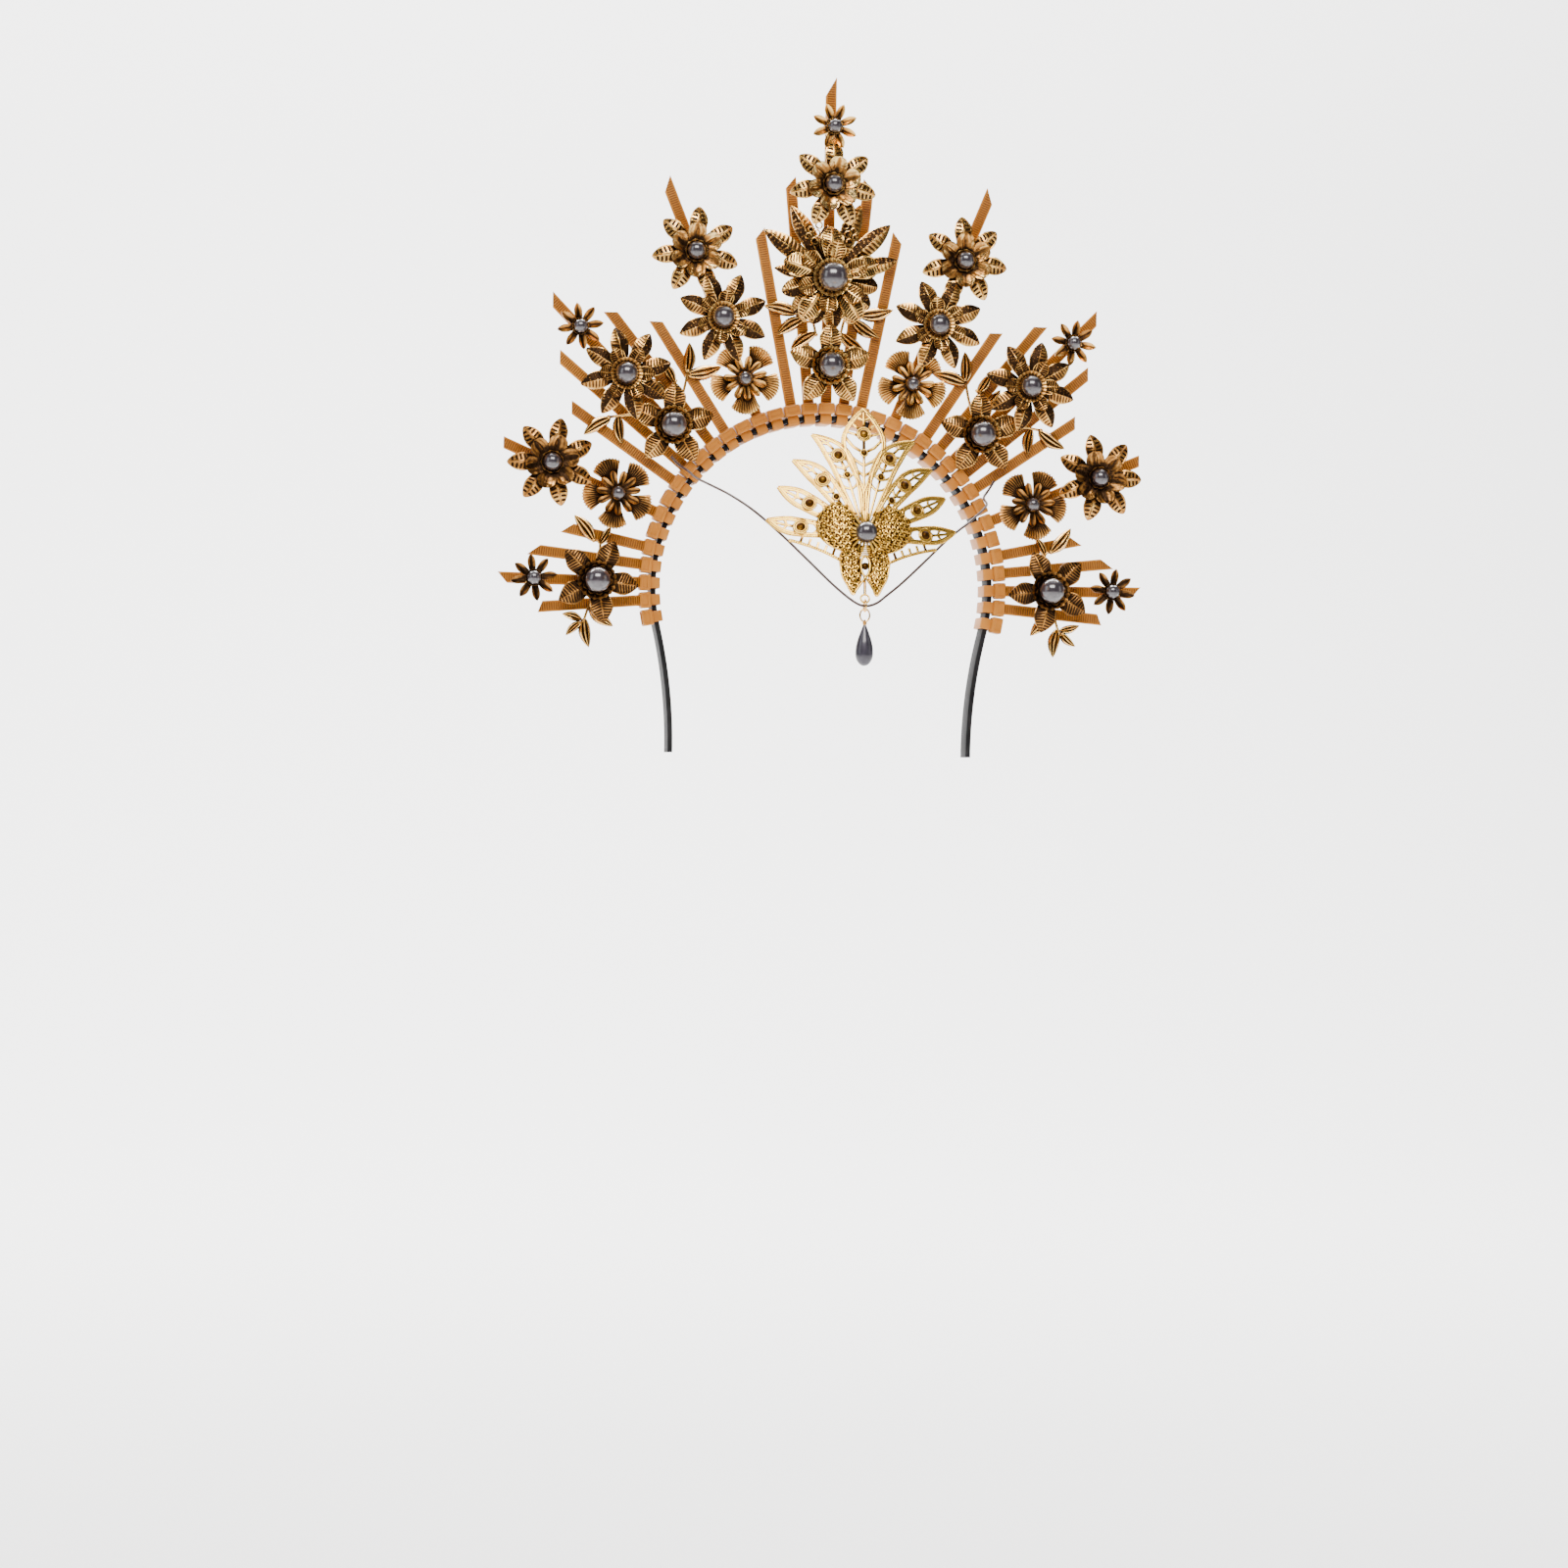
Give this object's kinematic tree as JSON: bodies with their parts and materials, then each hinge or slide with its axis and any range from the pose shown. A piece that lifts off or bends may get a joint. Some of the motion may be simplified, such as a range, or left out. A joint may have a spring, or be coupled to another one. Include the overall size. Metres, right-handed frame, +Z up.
{
  "type": "crown headband",
  "caption": "Halo crown headband of cable-tie rays with gilt flowers and grey pearls, and a pierced forehead ornament with a pearl drop on a cord.",
  "frame": {"origin": "middle of the headband's inner face at the top of the head", "axes": "+Z up along the middle ray, -Y to the front where the forehead ornament hangs, +X to the right in a front view"},
  "size_m": [0.2388, 0.1021, 0.2478],
  "materials": {
    "black_band": "matte black plastic headband",
    "ochre_nylon": "satin ochre nylon, finely ribbed",
    "gilt_stamping": "antique gilt stamping with dark recesses",
    "bright_filigree": "bright pale gilt filigree",
    "gilt_wire": "gilt wire",
    "grey_pearl": "pearl lacquer",
    "brown_cord": "thin waxed cord"
  },
  "bodies": {
    "root": {"centre_flower_middle": "gilt_stamping", "cup_flower_left_08": "gilt_stamping", "cup_flower_left_16": "gilt_stamping", "cup_flower_middle": "gilt_stamping", "cup_flower_right_08": "gilt_stamping", "cup_flower_right_16": "gilt_stamping", "daisy_flower_left_08": "gilt_stamping", "daisy_flower_left_16": "gilt_stamping", "daisy_flower_middle": "gilt_stamping", "daisy_flower_right_08": "gilt_stamping", "daisy_flower_right_16": "gilt_stamping", "forehead_cord": "brown_cord", "forehead_ornament": "bright_filigree", "grain_flower_left_04": "gilt_stamping", "grain_flower_left_08": "gilt_stamping", "grain_flower_right_04": "gilt_stamping", "grain_flower_right_08": "gilt_stamping", "headband": "black_band", "ray_tie_left_01": "ochre_nylon", "ray_tie_left_02": "ochre_nylon", "ray_tie_left_04": "ochre_nylon", "ray_tie_left_06": "ochre_nylon", "ray_tie_left_07": "ochre_nylon", "ray_tie_left_08": "ochre_nylon", "ray_tie_left_09": "ochre_nylon", "ray_tie_left_10": "ochre_nylon", "ray_tie_left_12": "ochre_nylon", "ray_tie_left_14": "ochre_nylon", "ray_tie_left_15": "ochre_nylon", "ray_tie_left_16": "ochre_nylon", "ray_tie_left_17": "ochre_nylon", "ray_tie_middle": "ochre_nylon", "ray_tie_right_01": "ochre_nylon", "ray_tie_right_02": "ochre_nylon", "ray_tie_right_04": "ochre_nylon", "ray_tie_right_06": "ochre_nylon", "ray_tie_right_07": "ochre_nylon", "ray_tie_right_08": "ochre_nylon", "ray_tie_right_09": "ochre_nylon", "ray_tie_right_10": "ochre_nylon", "ray_tie_right_12": "ochre_nylon", "ray_tie_right_14": "ochre_nylon", "ray_tie_right_15": "ochre_nylon", "ray_tie_right_16": "ochre_nylon", "ray_tie_right_17": "ochre_nylon", "shell_flower_left_04": "gilt_stamping", "shell_flower_left_12": "gilt_stamping", "shell_flower_right_04": "gilt_stamping", "shell_flower_right_12": "gilt_stamping", "star_flower_left_04": "gilt_stamping", "star_flower_left_12": "gilt_stamping", "star_flower_middle": "gilt_stamping", "star_flower_right_04": "gilt_stamping", "star_flower_right_12": "gilt_stamping"},
    "jump_ring": {"jump_ring": "gilt_wire"},
    "pearl_drop": {"pearl_drop": "grey_pearl"}
  },
  "joints": [
    {"name": "ring_swing", "type": "hinge", "parent": "root", "child": "jump_ring", "pos_m": [-0.00109, -0.0925, -0.06996], "axis": [1, 0, 0], "range_deg": [-35, 35]},
    {"name": "drop_swing", "type": "hinge", "parent": "jump_ring", "child": "pearl_drop", "pos_m": [-0.00109, -0.0925, -0.07306], "axis": [0, 1, 0], "range_deg": [-35, 35]}
  ]
}
